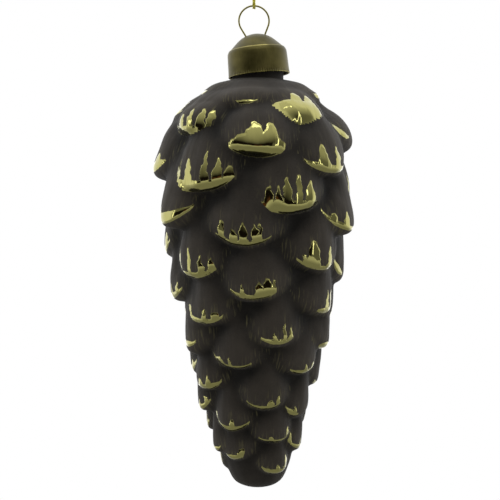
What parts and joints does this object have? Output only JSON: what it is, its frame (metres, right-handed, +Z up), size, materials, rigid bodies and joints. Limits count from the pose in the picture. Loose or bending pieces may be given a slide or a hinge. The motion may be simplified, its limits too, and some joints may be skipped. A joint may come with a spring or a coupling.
{
  "type": "cone ornament",
  "caption": "Hanging pine cone bauble: a hollow moulded cone of overlapping scales under a crooked metal cap with a wire ring and a thin hanging cord.",
  "frame": {"origin": "top inside of the hanger's ring, where the cord carries the ornament", "axes": "+Z up along the hang, from the tip of the cone to the ring; +X to the viewer's right and -Y towards the viewer of the pictured front"},
  "size_m": [0.0575, 0.0569, 0.1818],
  "materials": {
    "coated_glass": "opaque matte dark brown coat with mirror gold on the lips of the scales",
    "cap_brass": "antique satin",
    "wire_brass": "bright drawn wire",
    "cord": "twisted metallic thread"
  },
  "bodies": {
    "root": {"glass_cone": "coated_glass", "cap": "cap_brass", "hanger_wire": "wire_brass", "hanging_cord": "cord", "cord_knot": "cord"}
  },
  "joints": []
}
